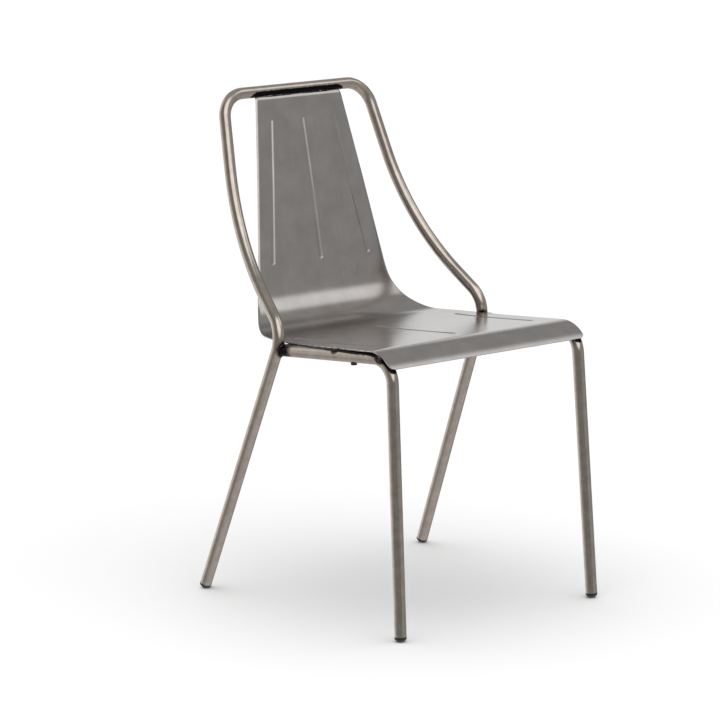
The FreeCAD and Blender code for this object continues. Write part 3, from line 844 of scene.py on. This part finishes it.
# A weld bead swept along a line: as wide as each point of the line says, swelling once for each
# puddle, and closed at open ends
def beadTree():
    tree, given, result = newTree("weldBead", [
        ("Roughness", "Float"), ("Puddle Pitch", "Float"), ("Ripple", "Float"), ("Steps", "Int"),
        ("Closed Ring", "Bool"), ("Seed", "Float"), ("Material", "Material")])
    line = addNode(tree, "GeometryNodeMeshToCurve", {}, {"Mesh": given["Geometry"]})
    even = addNode(tree, "GeometryNodeResampleCurve", {}, {"Curve": line, "Count": given["Steps"]})
    run = addNode(tree, "GeometryNodeSplineParameter").outputs
    puddles = addNode(tree, "ShaderNodeMath", {"operation": "DIVIDE"}, {
        0: run["Length"], 1: given["Puddle Pitch"]})
    turns = addNode(tree, "ShaderNodeMath", {"operation": "MULTIPLY"}, {0: puddles, 1: math.pi})
    wave = addNode(tree, "ShaderNodeMath", {"operation": "SINE"}, {0: turns})
    puddle = addNode(tree, "ShaderNodeMath", {"operation": "ABSOLUTE"}, {0: wave})
    swing = addNode(tree, "ShaderNodeMath", {"operation": "SUBTRACT"}, {
        0: puddle, 1: welds["middleSwell"]})
    swell = addNode(tree, "ShaderNodeMath", {"operation": "MULTIPLY_ADD"}, {
        0: swing, 1: given["Ripple"], 2: 1.0})
    offset = addNode(tree, "ShaderNodeMath", {"operation": "MULTIPLY_ADD"}, {
        0: run["Factor"], 1: 2.0, 2: -1.0})
    fromMiddle = addNode(tree, "ShaderNodeMath", {"operation": "ABSOLUTE"}, {0: offset})
    steep = addNode(tree, "ShaderNodeMath", {"operation": "POWER"}, {
        0: fromMiddle, 1: welds["endPower"]})
    left = addNode(tree, "ShaderNodeMath", {"operation": "SUBTRACT"}, {0: 1.0001, 1: steep})
    closing = addNode(tree, "ShaderNodeMath", {"operation": "SQRT"}, {0: left})
    taper = addNode(tree, "GeometryNodeSwitch", {"input_type": "FLOAT"}, {
        "Switch": given["Closed Ring"], "False": closing, "True": 1.0})
    width = addNode(tree, "GeometryNodeInputNamedAttribute", {"data_type": "FLOAT"}, {"Name": "beadRadius"})
    shape = addNode(tree, "ShaderNodeMath", {"operation": "MULTIPLY"}, {0: swell, 1: taper})
    size = addNode(tree, "ShaderNodeMath", {"operation": "MULTIPLY"}, {0: shape, 1: width})
    ring = addNode(tree, "GeometryNodeCurvePrimitiveCircle", {"mode": "RADIUS"}, {
        "Resolution": welds["roundSteps"], "Radius": 1.0})
    swept = addNode(tree, "GeometryNodeCurveToMesh", {}, {
        "Curve": even, "Profile Curve": ring, "Scale": size, "Fill Caps": True})
    spot = addNode(tree, "GeometryNodeInputPosition")
    rough = addNode(tree, "ShaderNodeTexNoise", {"noise_dimensions": "4D"}, {
        "Vector": spot, "W": given["Seed"], "Scale": welds["lumpsPerMetre"], "Detail": 2.0}).outputs["Color"]
    centred = addNode(tree, "ShaderNodeVectorMath", {"operation": "SUBTRACT"}, {0: rough, 1: (0.5, 0.5, 0.5)})
    push = addNode(tree, "ShaderNodeVectorMath", {"operation": "SCALE"}, {
        0: centred, "Scale": given["Roughness"]})
    lumpy = addNode(tree, "GeometryNodeSetPosition", {}, {"Geometry": swept, "Offset": push})
    finishTree(tree, lumpy, given["Material"], result)
    return tree


# Each weld as a line of points with the bead's radius at each: on the rails the lumps at the seat,
# the last one run out along the seam to the rear leg, and the seam under the bar
welds = {
    "seat": {
        "front": [((203.6, -207.5, 432.1), 4.0), ((203.6, -194.4, 437.1), 4.0)],
        "middle": [((204.9, -106.1, 433.3), 3.1), ((204.9, -92.2, 432.1), 3.1)],
        # The rear weld's run-out to the rear leg is partly a dark bead put in the shaded gap between sheet
        # and rail, as painted shade
        "rear": [((203.9, -62.0, 431.3), 1.2), ((204.1, -30.0, 428.9), 1.5), ((204.6, -7.0, 427.0), 1.9),
                 ((205.3, -3.0, 425.9), 3.2), ((205.5, 9.0, 425.0), 3.2), ((205.2, 14.0, 424.4), 2.6),
                 ((204.6, 25.0, 423.3), 2.8)],
    },
    # The seam runs the sheet's full width: partly weld, partly a dark bead put in the shaded crevice under
    # the bar as painted shade
    "hoop": [((1.5, 244.3, 782.3), 2.9), ((77.0, 244.3, 782.3), 2.9)],
    "railRing": 1.6,
    "crossRing": 1.0,
    "ringGap": 0.3,
    "puddlePitch": 3.2,
    "ripple": 0.22,
    "middleSwell": 0.6,
    "endPower": 4.0,        # the higher, the shorter the rounded ends
    "roundSteps": 20,
    "fewestSteps": 30,
    "stepsPerMm": 1.6,
    "lumps": 0.4,           # how far the noise pushes the bead's skin, as a share of its radius
    "lumpsPerMetre": 420.0,
}


def bead(name, tree, line, material, node, closed=False, seed=0.0):
    points, radii = [point for point, radius in line], [radius for point, radius in line]
    links = [(i, i + 1) for i in range(len(points) - 1)]
    if closed:
        links.append((len(points) - 1, 0))
    obj = newObject(name, meshFrom(name, points, links))
    width = obj.data.attributes.new("beadRadius", "FLOAT", "POINT")
    for item, radius in zip(width.data, radii):
        item.value = radius * mm
    length = sum((Vector(b) - Vector(a)).length for a, b in zip(points, points[1:]))
    runTree(obj, tree, {
        "Roughness": max(radii) * welds["lumps"] * mm, "Puddle Pitch": welds["puddlePitch"] * mm,
        "Ripple": welds["ripple"], "Closed Ring": closed, "Seed": seed, "Material": material,
        "Steps": welds["fewestSteps"] + int(length * welds["stepsPerMm"])})
    settle(obj, 70)
    seat(obj, node)


# Where a tube running along a direction meets the surface of another piece, all the way round it
def meeting(other, end, direction, radius, steps=40, runUp=45):
    shape = BVHTree.FromObject(other, bpy.context.evaluated_depsgraph_get())
    direction = Vector(direction).normalized()
    side = direction.orthogonal().normalized()
    up = direction.cross(side)
    points = []
    for step in range(steps):
        angle = 2 * math.pi * step / steps
        start = Vector(end) + (side * math.cos(angle) + up * math.sin(angle)) * radius - direction * runUp
        hit = shape.ray_cast(start * mm, direction)[0]
        if hit:
            points.append(hit / mm)
    return points


def makeWelds(hoop, rails, material):
    tree = beadTree()
    tube, cross = tubes["radius"] + welds["ringGap"], tubes["crossRadius"] + welds["ringGap"]
    for label, turn in (("Right", Vector), ("Left", flip)):
        low = label.lower()
        for place, line in welds["seat"].items():
            bead(place + "SeatWeld" + label, tree, [(turn(point), radius) for point, radius in line],
                 material, "seat_weld_" + place + "_" + low, seed=len(place) + line[0][1])
        bead("hoopWeld" + label, tree, [(turn(point), radius) for point, radius in welds["hoop"]],
             material, "hoop_weld_" + low, seed=2.0)
        run = turn(tubes["railEnd"]) - turn(tubes["frontBend"])
        ring = meeting(hoop, turn(tubes["railEnd"]), run, tube)
        bead("railWeld" + label, tree, [(point, welds["railRing"]) for point in ring], material,
             "rail_weld_" + low, True, 4.0)
        for place, end in tubes["crossEnds"].items():
            ring = meeting(rails[label], turn(end), turn((1, 0, 0)), cross)
            bead(place + "CrossWeld" + label, tree, [(point, welds["crossRing"]) for point in ring],
                 material, place + "_cross_weld_" + low, True, 5.0)
    print("welds laid")


makeCamera()
makeWorld()
makeLamp()
makeFloor()
print("studio lit")
tubeMaterials = {
    "hoop": tubeMaterial("millTubeSteelHoop", [legJointHeat, *hoopWeldHeat]),
    "rail": tubeMaterial("millTubeSteelRail", [railJointHeatAndShade, *seatWeldHeat]),
}
hoop, rails = makeTubes(tubeMaterials)
seatBack = makeSheet(sheetMaterial())
markGap(hoop, seatBack, paintedCreviceShade["lowestOnBar"], paintedCreviceShade["moreOnBar"])
for rail in rails.values():
    markGap(rail, seatBack)
plastic = plasticMaterial()
makePlugs(plastic)
makeBuffers(plastic)
makeWelds(hoop, rails, weldMaterial())
bpy.context.scene.view_settings.view_transform = "Standard"
